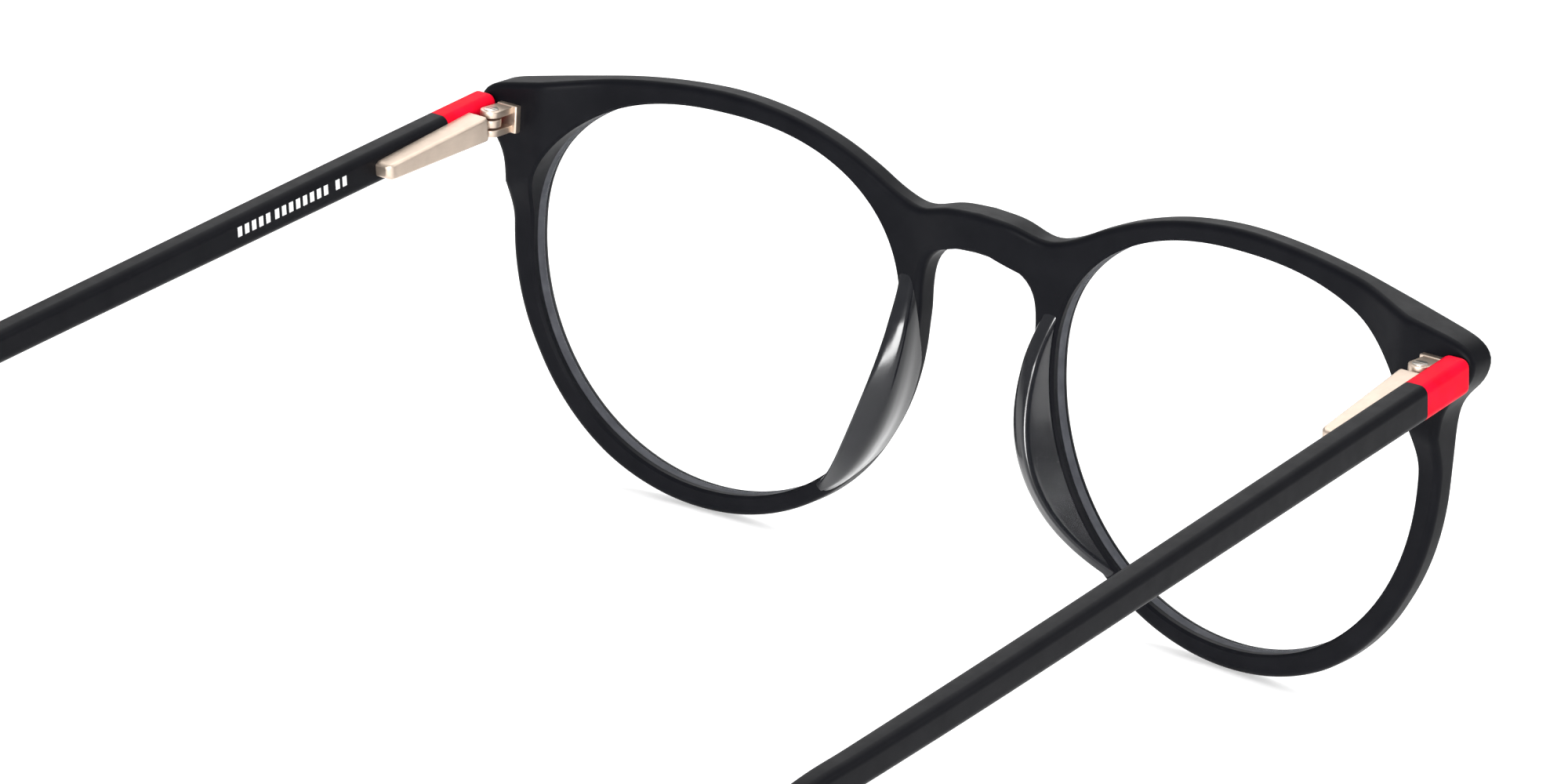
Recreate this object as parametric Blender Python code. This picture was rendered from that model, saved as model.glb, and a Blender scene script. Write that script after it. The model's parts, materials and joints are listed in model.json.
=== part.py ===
"""Round full-rim acetate eyeglasses with spring hinges, standing open on their rims and temple tips.

Everything is first laid out in millimetres in the frame of the front: X runs to the wearer's left,
Y runs backwards towards the ears, Z runs up the front, and the origin lies on the lens centre line
where the rear face crosses the nose. The front then leans forward until the temple tips reach the
floor, and the whole object is moved so that its bounding box stands centred on the origin.
"""

import math

import bmesh
import bpy
import numpy as np
from mathutils import Matrix, Vector
from mathutils.geometry import delaunay_2d_cdt

MM = 0.001

# Driving sizes printed on such a frame: lens width, bridge width and temple length.
LENS_WIDTH = 51.0
BRIDGE_WIDTH = 20.0
TEMPLE_LENGTH = 140.0

# Lens opening.
GROOVE_DEPTH = 0.95
EDGE_GAP = 0.3
LENS_CENTRE = (LENS_WIDTH + BRIDGE_WIDTH) / 2
OPENING_HALF = LENS_WIDTH / 2 + EDGE_GAP - GROOVE_DEPTH
OPENING_TOP = 20.25
OPENING_BOTTOM = -24.6
WIDEST_LINE = 1.5
TOP_SQUARENESS = 2.3
BOTTOM_SQUARENESS = 2.05

# Nose pads, by angle in degrees round the lens opening.
PAD_TOP = 166.0
PAD_LENGTH = 66.0
PAD_HEIGHT = 4.2

# Front.
FRONT_THICK = 3.1
FRONT_BEND = 0.00093
EDGE_ROUND = 0.8
END_FLOOR = 5.3
END_OUTER = 67.4
BRIDGE_SWELL = 1.2

# Hinge.
HINGE = (62.9, 8.5, 14.75)
EAR_RADIUS = 1.25
HINGE_HALF_HEIGHT = 1.5
EAR_THICK = 0.8
EYE_THICK = 0.9
PLATE_REAR = END_FLOOR + 0.8
SCREW_RADIUS = 0.5

# Temple, in its own frame with the hinge axis as origin and Y along the arm.
TEMPLE_DROP = math.radians(7.2)
TEMPLE_SPLAY = math.radians(1.3)
TEMPLE_INNER = 1.4
TEMPLE_THICK = 3.2
TEMPLE_TOP = 2.15
TEMPLE_HEIGHT = 4.1
TEMPLE_START = END_FLOOR + 0.4 - HINGE[1]
SEAM = 5.6
BEND_START = 107.0
BEND_RADIUS = 28.0
BEND_ANGLE = math.radians(59)
TIP_HEIGHT = 6.6
CORE_END = 94.0
CORE_OFFSET = 0.75

# Spring housing.
HOUSING_START = 1.8
HOUSING_END = 18.0
HOUSING_NOSE = -1.3
HOUSING_NOSE_END = -0.75
HOUSING_SEAT = 2.5
HOUSING_HALF = 1.5
HOUSING_HALF_END = 0.95
BORE_RADIUS = 0.78
STEM_RADIUS = 0.36
BUSH_START = 2.6
BUSH_END = 3.6
NUT_START = 10.6
NUT_END = 11.8


def smooth(value):
    """A soft step from 0 to 1."""
    value = min(max(value, 0.0), 1.0)
    return value * value * (3 - 2 * value)


def curve_through(points, steps):
    """Catmull-Rom curve through the points, which it starts and ends at."""
    points = [np.array(p, float) for p in points]
    ends = [2 * points[0] - points[1]] + points + [2 * points[-1] - points[-2]]
    found = []
    for before, start, stop, after in zip(ends, ends[1:], ends[2:], ends[3:]):
        for step in range(steps):
            t = step / steps
            found.append(
                0.5
                * (
                    2 * start
                    + (stop - before) * t
                    + (2 * before - 5 * start + 4 * stop - after) * t**2
                    + (3 * start - before - 3 * stop + after) * t**3
                )
            )
    found.append(points[-1])
    return np.array(found)


def opening_point(angle):
    """Point of the lens opening of the wearer's left eye, about its own centre."""
    across = math.cos(angle)
    up = math.sin(angle)
    squareness = TOP_SQUARENESS if up >= 0 else BOTTOM_SQUARENESS
    height = OPENING_TOP - WIDEST_LINE if up >= 0 else WIDEST_LINE - OPENING_BOTTOM
    x = OPENING_HALF * math.copysign(abs(across) ** (2 / squareness), across)
    z = WIDEST_LINE + height * math.copysign(abs(up) ** (2 / squareness), up)
    return np.array((x + LENS_CENTRE, z))


def even_opening(count):
    """The lens opening as evenly spaced points, counter-clockwise from the temple side."""
    dense = np.array([opening_point(2 * math.pi * k / 1440) for k in range(1441)])
    steps = np.hypot(*np.diff(dense, axis=0).T)
    along = np.concatenate(([0], np.cumsum(steps)))
    wanted = np.linspace(0, along[-1], count, endpoint=False)
    return np.stack([np.interp(wanted, along, dense[:, k]) for k in (0, 1)], axis=-1)


def grown(loop, distance):
    """A counter-clockwise loop moved outwards by a distance, or inwards by a negative one."""
    tangent = np.roll(loop, -1, axis=0) - np.roll(loop, 1, axis=0)
    tangent /= np.linalg.norm(tangent, axis=1)[:, None]
    normal = np.stack([tangent[:, 1], -tangent[:, 0]], axis=-1)
    return loop + normal * np.reshape(distance, (-1, 1))


# Rim width round the lens, by angle in degrees from the temple side.
RIM_WIDTHS = (
    (-180, 2.75), (-150, 2.2), (-120, 2.15), (-90, 2.45), (-60, 2.7), (-30, 2.5), (0, 2.9), (8, 3.1),
)
# Upper half of the outline from the middle of the bridge round the end piece to the rim below it.
BROW = (
    (0, 16.5), (4.2, 16.2), (7.6, 15.2), (9.6, 15.2), (12.6, 16.3), (16, 18.1), (21, 20.2), (27, 21.8),
    (34, 22.6), (41, 22.4), (48, 21.6), (55, 20.3), (61, 19.1), (65.4, 18.1), (END_OUTER - 0.2, 16.8),
    (END_OUTER - 0.1, 15.2), (66.5, 13.4), (65.0, 11.8), (63.9, 10), (63.5, 7.6), (63.4, 5.2),
)
# Underside of the bridge, from the rim to the middle.
KEYHOLE = ((7.7, 3), (7.75, 5.6), (7.45, 8.2), (6.6, 9.85), (5.15, 11), (3.1, 11.7), (0, 11.9))


def front_outline():
    """Outer outline of the front, counter-clockwise, as seen with X to the right and Z up."""
    rim = []
    for degrees in range(0, -181, -6):
        here = opening_point(math.radians(degrees))
        ahead = opening_point(math.radians(degrees + 0.5))
        tangent = (ahead - here) / np.linalg.norm(ahead - here)
        width = np.interp(degrees, *zip(*RIM_WIDTHS))
        rim.append(here + width * np.array((tangent[1], -tangent[0])))
    half = np.concatenate((curve_through(BROW, 3), rim, curve_through(KEYHOLE, 3)))
    mirrored = half[1:-1] * (-1, 1)
    return np.concatenate((half[::-1], mirrored))


def rear_depth(x, z):
    """Y of the rear face of the front: a gentle bend, thicker at the bridge and at the end pieces."""
    across = abs(x)
    bend = FRONT_BEND * x * x
    bridge = BRIDGE_SWELL * (1 - smooth((across - 5) / 6))
    end = 2.4 * smooth((across - 50) / 11) * smooth((z - 2) / 8)
    return min(bend + bridge + end, END_FLOOR)


def front_depth(x):
    """Y of the front face of the front."""
    return FRONT_BEND * x * x - FRONT_THICK


def placed(loop, side, distance):
    """Loop points at a distance below the rear face ('rear') or behind the front face ('front')."""
    if side == "rear":
        return [Vector((x, rear_depth(x, z) - distance, z)) for x, z in loop]
    return [Vector((x, front_depth(x) + distance, z)) for x, z in loop]


def add_rings(mesh, rings, outward):
    """Joins successive rings of points with quads and returns the vertices of each ring."""
    made = [[mesh.verts.new(point) for point in ring] for ring in rings]
    for first, second in zip(made, made[1:]):
        for k in range(len(first)):
            following = (k + 1) % len(first)
            corners = [first[k], first[following], second[following], second[k]]
            mesh.faces.new(corners if outward else corners[::-1])
    return made


def inside(point, loop):
    """Whether a point lies within a closed loop."""
    x, z = point
    x1, z1 = loop.T
    x2, z2 = np.roll(loop, -1, axis=0).T
    crosses = (z1 > z) != (z2 > z)
    where = x1 + (z - z1) * (x2 - x1) / np.where(z2 == z1, 1, z2 - z1)
    return bool((crosses & (x < where)).sum() % 2)


def fill_face(mesh, outer, holes, inner_points, depth, flip):
    """Fills the face between an outer ring and its holes, with a few points of its own in between."""
    rings = [outer] + holes
    flat = [np.array([(v.co.x, v.co.z) for v in ring]) for ring in rings]
    coords = [Vector(p) for loop in flat for p in loop] + [Vector(p) for p in inner_points]
    edges = []
    start = 0
    for loop in flat:
        edges += [(start + k, start + (k + 1) % len(loop)) for k in range(len(loop))]
        start += len(loop)
    found, _, faces, origins, _, _ = delaunay_2d_cdt(coords, edges, [], 0, 1e-6)
    verts = [v for ring in rings for v in ring]
    verts += [mesh.verts.new(Vector((x, depth(x, z), z))) for x, z in inner_points]
    chosen = [verts[min(origin)] for origin in origins]
    for face in faces:
        middle = sum((np.array(found[k]) for k in face), np.zeros(2)) / len(face)
        if not inside(middle, flat[0]) or any(inside(middle, hole) for hole in flat[1:]):
            continue
        corners = [chosen[k] for k in face]
        mesh.faces.new(corners[::-1] if flip else corners)


def face_points(outer, holes, spacing):
    """Grid points well inside the wide parts of the front: the bridge and the two end pieces."""
    found = []
    for x in np.arange(-66, 66.01, spacing):
        if 12 < abs(x) < 50:
            continue
        for z in np.arange(8.5, 19, spacing):
            near = min(np.hypot(*(loop - (x, z)).T).min() for loop in [outer] + holes)
            in_hole = any(inside((x, z), hole) for hole in holes)
            if near > 0.7 * spacing and inside((x, z), outer) and not in_hole:
                found.append((float(x), float(z)))
    return found


def new_mesh(name, mesh, matrix=None, mirror=False):
    """Turns a bmesh in front-frame millimetres into a mesh object, optionally for the right side."""
    if matrix is not None:
        bmesh.ops.transform(mesh, matrix=matrix, verts=mesh.verts)
    if mirror:
        bmesh.ops.scale(mesh, vec=(-1, 1, 1), verts=mesh.verts)
        bmesh.ops.reverse_faces(mesh, faces=mesh.faces)
    data = bpy.data.meshes.new(name)
    mesh.to_mesh(data)
    mesh.free()
    obj = bpy.data.objects.new(name, data)
    bpy.context.scene.collection.objects.link(obj)
    return obj


def combined(target, others, operation):
    """Applies a Boolean of the target with each of the others, which are then removed."""
    for other in others:
        modifier = target.modifiers.new("shape", "BOOLEAN")
        modifier.operation = operation
        modifier.solver = "EXACT"
        modifier.object = other
        bpy.context.view_layer.update()
        evaluated = target.evaluated_get(bpy.context.evaluated_depsgraph_get())
        data = bpy.data.meshes.new_from_object(evaluated)
        target.modifiers.remove(modifier)
        target.data = data
        bpy.data.objects.remove(other)
    return target


def box(low, high, matrix=None, mirror=False):
    """A box between two corners."""
    mesh = bmesh.new()
    bmesh.ops.create_cube(mesh, size=1)
    low = Vector(low)
    high = Vector(high)
    for vert in mesh.verts:
        share = vert.co + Vector((0.5, 0.5, 0.5))
        vert.co = Vector([low[k] + share[k] * (high[k] - low[k]) for k in range(3)])
    return new_mesh("box", mesh, matrix, mirror)


def rod(radius, start, stop, axis, count=20, matrix=None, mirror=False):
    """A cylinder along Y or Z. Start and stop are its end points."""
    mesh = bmesh.new()
    rings = []
    for centre in (start, stop):
        ring = []
        for k in range(count):
            angle = 2 * math.pi * k / count
            across = radius * math.cos(angle)
            up = radius * math.sin(angle)
            shift = Vector((across, 0, up)) if axis == "Y" else Vector((across, up, 0))
            ring.append(Vector(centre) + shift)
        rings.append(ring)
    made = add_rings(mesh, rings, axis == "Z")
    for ring in made:
        mesh.faces.new(ring)
    bmesh.ops.recalc_face_normals(mesh, faces=mesh.faces)
    return new_mesh("rod", mesh, matrix, mirror)


def temple_matrix():
    """Places the temple frame: origin on the hinge axis, sloping down and splayed a little outwards."""
    slope = Matrix.Rotation(-TEMPLE_DROP, 4, "X")
    splay = Matrix.Rotation(-TEMPLE_SPLAY, 4, "Z")
    return Matrix.Translation(HINGE) @ splay @ slope


def rounded_section(half_x, half_z, radius, per_corner=4):
    """Rounded rectangle as offsets (x, z) about its centre, counter-clockwise."""
    points = []
    corners = ((1, 1, 0), (-1, 1, 90), (-1, -1, 180), (1, -1, 270))
    for side_x, side_z, turn in corners:
        for k in range(per_corner):
            angle = math.radians(turn + 90 * k / (per_corner - 1))
            x = side_x * (half_x - radius) + radius * math.cos(angle)
            z = side_z * (half_z - radius) + radius * math.sin(angle)
            points.append((x, z))
    return points


def centre_line(along):
    """Centre of the temple section at a distance along it, with its direction angle below level."""
    bow = max(along - 62, 0) ** 2 / 4000
    tip_bow = max(along - BEND_START, 0) ** 2 / 260
    x = TEMPLE_INNER + TEMPLE_THICK / 2 - bow - tip_bow
    middle = TEMPLE_TOP - TEMPLE_HEIGHT / 2
    past = along - BEND_START
    if past <= 0:
        return Vector((x, along, middle)), 0.0
    turned = min(past / BEND_RADIUS, BEND_ANGLE)
    y = BEND_START + BEND_RADIUS * math.sin(turned)
    z = middle - BEND_RADIUS * (1 - math.cos(turned))
    straight = past - BEND_RADIUS * turned
    y += straight * math.cos(turned)
    z -= straight * math.sin(turned)
    return Vector((x, y, z)), turned


def section_ring(along, half_x, half_z, radius, shift=0.0):
    """Temple section as a ring of points at a distance along it."""
    centre, turned = centre_line(along)
    ring = []
    for x, z in rounded_section(half_x, half_z, radius):
        ring.append(centre + Vector((x + shift, z * math.sin(turned), z * math.cos(turned))))
    return ring


def arm_half_sizes(along):
    """Half thickness and half height of the temple at a distance along it."""
    slimmer = 0.25 * smooth(along / 90)
    wider = (TIP_HEIGHT - TEMPLE_HEIGHT) / 2 * smooth((along - 104) / 24)
    half_z = TEMPLE_HEIGHT / 2 - slimmer + wider
    half_x = TEMPLE_THICK / 2 - 0.2 * smooth((along - 80) / 40)
    return half_x, half_z


def make_temple_arm(mirror):
    """Black arm from the red block's seam to the ear tip, with the bore of its core wire."""
    mesh = bmesh.new()
    tip_end = TEMPLE_LENGTH + TEMPLE_START
    tip_round = TIP_HEIGHT / 2
    stations = [SEAM + 0.1, 20, 40, 62, 72, 82, 92, 98] + list(np.arange(102, tip_end - tip_round, 4))
    outer = [section_ring(s, *arm_half_sizes(s), 0.6) for s in stations]
    for step in (0, 25, 50, 70, 83):
        turn = math.radians(step)
        along = tip_end - tip_round * (1 - math.sin(turn))
        half_x, half_z = arm_half_sizes(along)
        half_x *= 0.55 + 0.45 * math.cos(turn)
        half_z *= math.cos(turn)
        outer.append(section_ring(along, half_x, half_z, min(0.6, 0.8 * half_z)))
    skin = add_rings(mesh, outer, False)
    mesh.faces.new(skin[-1][::-1])
    bores = [SEAM + 0.1, 20, 40, 62, 72, 82, CORE_END + 0.6]
    bore = add_rings(mesh, [section_ring(s, 0.62, 0.62, 0.6, CORE_OFFSET) for s in bores], True)
    mesh.faces.new(bore[-1])
    count = len(skin[0])
    for k in range(count):
        following = (k + 1) % count
        mesh.faces.new([skin[0][k], skin[0][following], bore[0][following], bore[0][k]][::-1])
    bmesh.ops.recalc_face_normals(mesh, faces=mesh.faces)
    matrix = temple_matrix()
    arm = new_mesh("arm", mesh, matrix, mirror)
    return combined(arm, [housing_seat(mirror)], "DIFFERENCE")


def housing_seat(mirror):
    """The recess that the spring housing is sunk into, a little larger than the housing."""
    mesh = bmesh.new()
    stretch = 0.15
    rings = []
    for along, half in ((HOUSING_START - 0.4, HOUSING_HALF), (HOUSING_END + 0.3, HOUSING_HALF_END)):
        ring = []
        for x, z in ((-3, -1), (HOUSING_SEAT + stretch, -1), (HOUSING_SEAT + stretch, 1), (-3, 1)):
            ring.append(Vector((x, along, z * (half + stretch))))
        rings.append(ring)
    made = add_rings(mesh, rings, True)
    mesh.faces.new(made[0])
    mesh.faces.new(made[1])
    bmesh.ops.recalc_face_normals(mesh, faces=mesh.faces)
    return new_mesh("seat", mesh, temple_matrix(), mirror)


def make_temple_block(mirror):
    """Red block spliced to the front end of the temple."""
    mesh = bmesh.new()
    half_x = TEMPLE_THICK / 2
    half_z = TEMPLE_HEIGHT / 2
    rings = []
    for along, inset in ((TEMPLE_START, 0.35), (TEMPLE_START + 0.35, 0.0), (SEAM - 0.1, 0.0)):
        rings.append(section_ring(along, half_x - inset, half_z - inset, 0.6))
    made = add_rings(mesh, rings, False)
    mesh.faces.new(made[0])
    mesh.faces.new(made[-1])
    bmesh.ops.recalc_face_normals(mesh, faces=mesh.faces)
    block = new_mesh("block", mesh, temple_matrix(), mirror)
    return combined(block, [housing_seat(mirror)], "DIFFERENCE")


def make_core_wire(mirror):
    """Stiffening wire inside the arm."""
    mesh = bmesh.new()
    stations = [SEAM + 0.5, 20, 40, 62, 72, 82, CORE_END]
    made = add_rings(mesh, [section_ring(s, 0.42, 0.42, 0.4, CORE_OFFSET) for s in stations], False)
    mesh.faces.new(made[0])
    mesh.faces.new(made[-1])
    bmesh.ops.recalc_face_normals(mesh, faces=mesh.faces)
    return new_mesh("wire", mesh, temple_matrix(), mirror)


def make_spring_housing(mirror):
    """Tapered metal box on the temple's inner side, with a bore that is open at its front."""
    mesh = bmesh.new()
    rings = []
    stations = (
        (HOUSING_START, 0.25), (HOUSING_START + 0.3, 0.0), (HOUSING_END - 1.0, 0.0),
        (HOUSING_END - 0.35, 0.12), (HOUSING_END, 0.45),
    )
    for along, inset in stations:
        share = (along - HOUSING_START) / (HOUSING_END - HOUSING_START)
        low = HOUSING_NOSE + share * (HOUSING_NOSE_END - HOUSING_NOSE) + inset
        half_z = HOUSING_HALF + share * (HOUSING_HALF_END - HOUSING_HALF) - inset
        half_x = (HOUSING_SEAT - low) / 2
        centre = Vector((low + half_x, along, 0))
        ring = [centre + Vector((x, 0, z)) for x, z in rounded_section(half_x, half_z, 0.45)]
        rings.append(ring)
    made = add_rings(mesh, rings, False)
    mesh.faces.new(made[0])
    mesh.faces.new(made[-1])
    bmesh.ops.recalc_face_normals(mesh, faces=mesh.faces)
    housing = new_mesh("housing", mesh, temple_matrix(), mirror)
    bore = rod(
        BORE_RADIUS, (0, HOUSING_START - 1, 0), (0, NUT_END + 0.6, 0), "Y", 20, temple_matrix(), mirror
    )
    return combined(housing, [bore], "DIFFERENCE")


def make_stop_bush(mirror):
    """Ring fixed in the housing that the spring pushes against."""
    matrix = temple_matrix()
    outer = rod(BORE_RADIUS - 0.05, (0, BUSH_START, 0), (0, BUSH_END, 0), "Y", 20, matrix, mirror)
    start = (0, BUSH_START - 1, 0)
    stop = (0, BUSH_END + 1, 0)
    hole = rod(STEM_RADIUS + 0.1, start, stop, "Y", 20, matrix, mirror)
    return combined(outer, [hole], "DIFFERENCE")


def make_stem_nut(mirror):
    """Nut at the end of the tongue's stem that pulls on the spring."""
    matrix = temple_matrix()
    outer = rod(0.66, (0, NUT_START, 0), (0, NUT_END, 0), "Y", 6, matrix, mirror)
    start = (0, NUT_START - 1, 0)
    stop = (0, NUT_END + 1, 0)
    hole = rod(STEM_RADIUS + 0.05, start, stop, "Y", 16, matrix, mirror)
    return combined(outer, [hole], "DIFFERENCE")


def make_hinge_spring(mirror):
    """Coil spring round the stem, between the stop bush and the nut."""
    mesh = bmesh.new()
    wire = 0.1
    mean = 0.57
    turns = 9
    per_turn = 12
    start = BUSH_END + 0.15
    length = NUT_START - 0.15 - start
    rings = []
    for k in range(turns * per_turn + 1):
        angle = 2 * math.pi * k / per_turn
        along = start + wire + (length - 2 * wire) * k / (turns * per_turn)
        radial = Vector((math.cos(angle), 0, math.sin(angle)))
        centre = radial * mean + Vector((0, along, 0))
        ring = []
        for j in range(5):
            turn = 2 * math.pi * j / 5
            ring.append(centre + radial * wire * math.cos(turn) + Vector((0, wire * math.sin(turn), 0)))
        rings.append(ring)
    made = add_rings(mesh, rings, True)
    mesh.faces.new(made[0])
    mesh.faces.new(made[-1])
    bmesh.ops.recalc_face_normals(mesh, faces=mesh.faces)
    return new_mesh("spring", mesh, temple_matrix(), mirror)


def make_hinge_tongue(mirror):
    """Sliding carriage: the eye between the hinge ears and the stem that runs into the housing."""
    x, y, z = HINGE
    half = EYE_THICK / 2
    eye = rod(EAR_RADIUS - 0.05, (x, y, z - half), (x, y, z + half), "Z", 24, None, mirror)
    neck = box((-0.6, 0.2, -0.42), (0.6, 2.3, 0.42), temple_matrix(), mirror)
    stem = rod(STEM_RADIUS, (0, 1.5, 0), (0, NUT_END + 0.2, 0), "Y", 16, temple_matrix(), mirror)
    hole = rod(SCREW_RADIUS + 0.08, (x, y, z - 2), (x, y, z + 2), "Z", 20, None, mirror)
    tongue = combined(eye, [neck, stem], "UNION")
    return combined(tongue, [hole], "DIFFERENCE")


def make_front_hinge(mirror):
    """Plate let into the end piece, with the two ears that hold the screw."""
    x, y, z = HINGE
    top = z + HINGE_HALF_HEIGHT
    bottom = z - HINGE_HALF_HEIGHT
    floor = END_FLOOR
    plate = box((x - 1.7, floor - 1.0, bottom - 0.1), (x + 1.2, PLATE_REAR, top + 0.1), None, mirror)
    anchor = box((x - 0.9, floor - 2.6, z - 0.8), (x + 0.6, floor - 0.6, z + 0.8), None, mirror)
    pieces = [anchor]
    for low, high in ((bottom, bottom + EAR_THICK), (top - EAR_THICK, top)):
        ear_side = EAR_RADIUS - 0.1
        ear_root = (x - ear_side, PLATE_REAR - 0.4, low)
        pieces.append(box(ear_root, (x + ear_side, y, high), None, mirror))
        pieces.append(rod(EAR_RADIUS, (x, y, low), (x, y, high), "Z", 24, None, mirror))
    hinge = combined(plate, pieces, "UNION")
    hole = rod(SCREW_RADIUS + 0.08, (x, y, bottom - 1), (x, y, top + 1), "Z", 20, None, mirror)
    sink = rod(0.93, (x, y, top - 0.35), (x, y, top + 1), "Z", 20, None, mirror)
    return combined(hinge, [hole, sink], "DIFFERENCE")


def make_hinge_screw(mirror):
    """Slotted screw through both ears and the eye."""
    x, y, z = HINGE
    top = z + HINGE_HALF_HEIGHT
    head = rod(0.85, (x, y, top - 0.27), (x, y, top + 0.08), "Z", 20, None, mirror)
    end = (x, y, z - HINGE_HALF_HEIGHT + 0.1)
    shank = rod(SCREW_RADIUS, end, (x, y, top - 0.2), "Z", 20, None, mirror)
    slot = box((x - 1.2, y - 0.13, top - 0.1), (x + 1.2, y + 0.13, top + 0.5), None, mirror)
    screw = combined(head, [shank], "UNION")
    return combined(screw, [slot], "DIFFERENCE")


def make_lens(mirror):
    """Clear lens seated in the groove of its rim."""
    edge = even_opening(72)
    mesh = bmesh.new()
    rings = []
    for distance, inset in ((1.95, 0.2), (1.75, 0.0), (1.15, 0.0), (0.95, 0.2)):
        rings.append(placed(grown(edge, GROOVE_DEPTH - EDGE_GAP - inset), "front", distance))
    made = add_rings(mesh, rings, False)
    middle = [(float(x), float(z)) for x in np.arange(16, 58, 6) for z in (-12, -3, 6, 14)]
    middle = [p for p in middle if inside(p, grown(edge, -2.5))]
    for ring, distance, flip in ((made[0], 1.95, True), (made[-1], 0.95, False)):
        fill_face(mesh, ring, [], middle, lambda x, z, d=distance: front_depth(x) + d, flip)
    bmesh.ops.recalc_face_normals(mesh, faces=mesh.faces)
    return new_mesh("lens", mesh, None, mirror)


def make_nose_pad(mirror):
    """Smooth acetate pad cemented to the rear of the rim beside the nose."""
    mesh = bmesh.new()
    rings = []
    stations = 19
    for k in range(stations):
        share = k / (stations - 1)
        angle = math.radians(PAD_TOP + PAD_LENGTH * share)
        here = opening_point(angle)
        ahead = opening_point(angle + 0.01)
        tangent = (ahead - here) / np.linalg.norm(ahead - here)
        nosewards = np.array((tangent[1], -tangent[0]))
        swell = math.sin(math.pi * (0.04 + 0.92 * share)) ** 0.75
        width = np.interp(math.degrees(angle) - 360, *zip(*RIM_WIDTHS))
        near = here + nosewards * 0.55
        far = here + nosewards * (width - 0.15)
        ring = []
        for j in range(11):
            turn = math.pi * j / 10
            flat = 0.5 * (near + far) + 0.5 * (near - far) * math.cos(turn)
            lean = 0.35 * swell * math.sin(turn)
            x, z = flat - nosewards * lean
            lift = 0.12 + PAD_HEIGHT * swell * math.sin(turn) ** 0.8
            ring.append(Vector((x, rear_depth(x, z) + lift, z)))
        rings.append(ring)
    made = add_rings(mesh, rings, False)
    mesh.faces.new(made[0])
    mesh.faces.new(made[-1])
    bmesh.ops.recalc_face_normals(mesh, faces=mesh.faces)
    return new_mesh("pad", mesh, None, mirror)


def make_front_frame():
    """The one-piece acetate front with both rims, the keyhole bridge and the end pieces."""
    mesh = bmesh.new()
    outline = front_outline()
    bevel = EDGE_ROUND * (1 - math.cos(math.radians(45)))
    outer_levels = (
        ("rear", 0.0, -EDGE_ROUND), ("rear", bevel, -bevel), ("rear", EDGE_ROUND, 0.0),
        ("front", EDGE_ROUND, 0.0), ("front", bevel, -bevel), ("front", 0.0, -EDGE_ROUND),
    )
    outer = add_rings(mesh, [placed(grown(outline, g), s, d) for s, d, g in outer_levels], False)
    opening_levels = (
        ("rear", 0.0, 0.3), ("rear", 0.3, 0.0), ("front", 2.2, 0.0), ("front", 2.15, GROOVE_DEPTH),
        ("front", 0.75, GROOVE_DEPTH), ("front", 0.7, 0.0), ("front", 0.55, 0.0),
        ("front", 0.16, 0.16), ("front", 0.0, 0.55),
    )
    opening = even_opening(72)
    openings = []
    for side in (1, -1):
        loop = opening if side == 1 else (opening * (-1, 1))[::-1]
        rings = [placed(grown(loop, g), s, d) for s, d, g in opening_levels]
        openings.append(add_rings(mesh, rings, True))
    holes = [np.array([(v.co.x, v.co.z) for v in made[0]]) for made in openings]
    rear_outer = np.array([(v.co.x, v.co.z) for v in outer[0]])
    extra = face_points(rear_outer, holes, 1.6)
    fill_face(mesh, outer[0], [made[0] for made in openings], extra, rear_depth, True)
    front_openings = [made[-1] for made in openings]
    fill_face(mesh, outer[-1], front_openings, [], lambda x, z: front_depth(x), False)
    bmesh.ops.recalc_face_normals(mesh, faces=mesh.faces)
    front = new_mesh("front", mesh)
    x, y, z = HINGE
    floor = END_FLOOR
    reach = HINGE_HALF_HEIGHT + 0.3
    cutters = []
    for mirror in (False, True):
        cutters.append(box((x - 1.9, floor - 1.2, z - reach), (x + 1.4, y, z + reach), None, mirror))
        pit = (x - 1.1, floor - 2.8, z - 1.0)
        cutters.append(box(pit, (x + 0.8, floor - 1.0, z + 1.0), None, mirror))
    return combined(front, cutters, "DIFFERENCE")


def material(name, colour, roughness, metallic=0.0, transmission=0.0):
    """A plain Principled material."""
    made = bpy.data.materials.new(name)
    made.use_nodes = True
    shader = made.node_tree.nodes["Principled BSDF"]
    shader.inputs["Base Color"].default_value = (*colour, 1)
    shader.inputs["Roughness"].default_value = roughness
    shader.inputs["Metallic"].default_value = metallic
    shader.inputs["Transmission Weight"].default_value = transmission
    return made


BLACK = ("acetate_black", (0.012, 0.013, 0.015), 0.55)
GLOSS = ("acetate_pad", (0.014, 0.015, 0.017), 0.25)
RED = ("acetate_red", (0.8, 0.006, 0.02), 0.45)
CLEAR = ("lens_clear", (1, 1, 1), 0.02, 0.0, 1.0)
NICKEL = ("nickel_satin", (0.75, 0.68, 0.58), 0.3, 1.0)
STEEL = ("spring_steel", (0.55, 0.55, 0.56), 0.35, 1.0)

SIDED = (
    ("nose_pad", make_nose_pad, GLOSS, False),
    ("lens", make_lens, CLEAR, False),
    ("front_hinge", make_front_hinge, NICKEL, False),
    ("hinge_screw", make_hinge_screw, STEEL, False),
    ("hinge_tongue", make_hinge_tongue, NICKEL, True),
    ("stem_nut", make_stem_nut, STEEL, True),
    ("temple_arm", make_temple_arm, BLACK, True),
    ("temple_block", make_temple_block, RED, True),
    ("core_wire", make_core_wire, STEEL, True),
    ("spring_housing", make_spring_housing, NICKEL, True),
    ("stop_bush", make_stop_bush, STEEL, True),
    ("hinge_spring", make_hinge_spring, STEEL, True),
)


def standing_lean(rims, arms):
    """Turn about X at which the rims' bottoms and the temple tips stand on the same floor."""
    rims = np.array([v.co for v in rims.data.vertices])
    arms = np.array([v.co for v in arms.data.vertices])
    low = math.radians(-15)
    high = math.radians(15)
    for _ in range(40):
        lean = (low + high) / 2
        up = np.array((0, math.sin(lean), math.cos(lean)))
        if (arms @ up).min() > (rims @ up).min():
            high = lean
        else:
            low = lean
    return (low + high) / 2


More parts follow.
